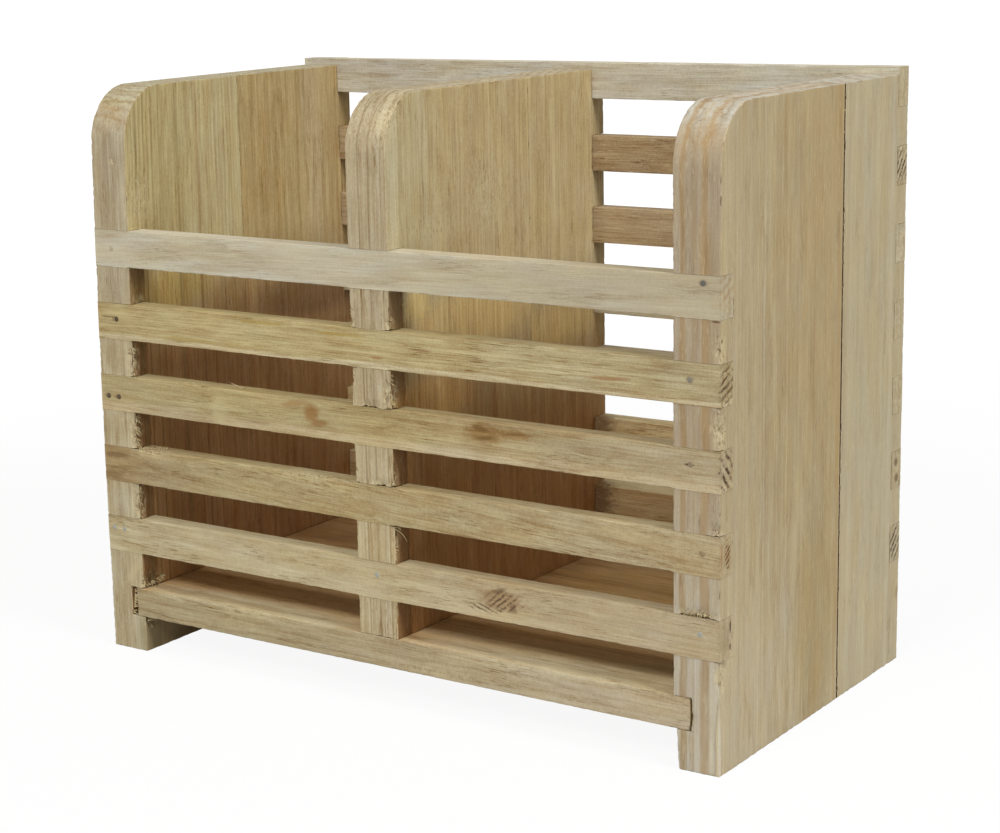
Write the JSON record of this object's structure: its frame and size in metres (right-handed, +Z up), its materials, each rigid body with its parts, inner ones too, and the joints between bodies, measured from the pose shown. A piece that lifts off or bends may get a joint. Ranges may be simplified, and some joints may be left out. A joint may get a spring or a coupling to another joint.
{
  "type": "slatted utensil caddy",
  "caption": "Open-top wooden caddy with two side-by-side bays, let-in slats across front and back, a housed floor and uprights with rounded top front corners.",
  "frame": {"origin": "middle of the footprint, on the surface that the feet stand on", "axes": "+X along the slats to the right as seen from the front, +Y from the front slats to the back slats, +Z up"},
  "size_m": [0.306, 0.162, 0.253],
  "materials": {
    "side_wood": "raw, unfinished",
    "divider_wood": "raw, unfinished",
    "floor_wood": "raw, unfinished",
    "front_slat_wood": "raw, unfinished",
    "back_slat_wood": "raw, unfinished",
    "brad_steel": "dull"
  },
  "bodies": {
    "root": {"left_side_front_board": "side_wood", "left_side_rear_board": "side_wood", "divider_front_board": "divider_wood", "divider_rear_board": "divider_wood", "right_side_front_board": "side_wood", "right_side_rear_board": "side_wood", "floor_front_board": "floor_wood", "floor_rear_board": "floor_wood", "front_slat_1": "front_slat_wood", "front_slat_2": "front_slat_wood", "front_slat_3": "front_slat_wood", "front_slat_4": "front_slat_wood", "front_slat_5": "front_slat_wood", "back_slat_1": "back_slat_wood", "back_slat_2": "back_slat_wood", "back_slat_3": "back_slat_wood", "back_slat_4": "back_slat_wood", "back_slat_5": "back_slat_wood", "back_slat_6": "back_slat_wood", "back_slat_7": "back_slat_wood", "front_brads": "brad_steel", "back_brads": "brad_steel"}
  },
  "joints": []
}
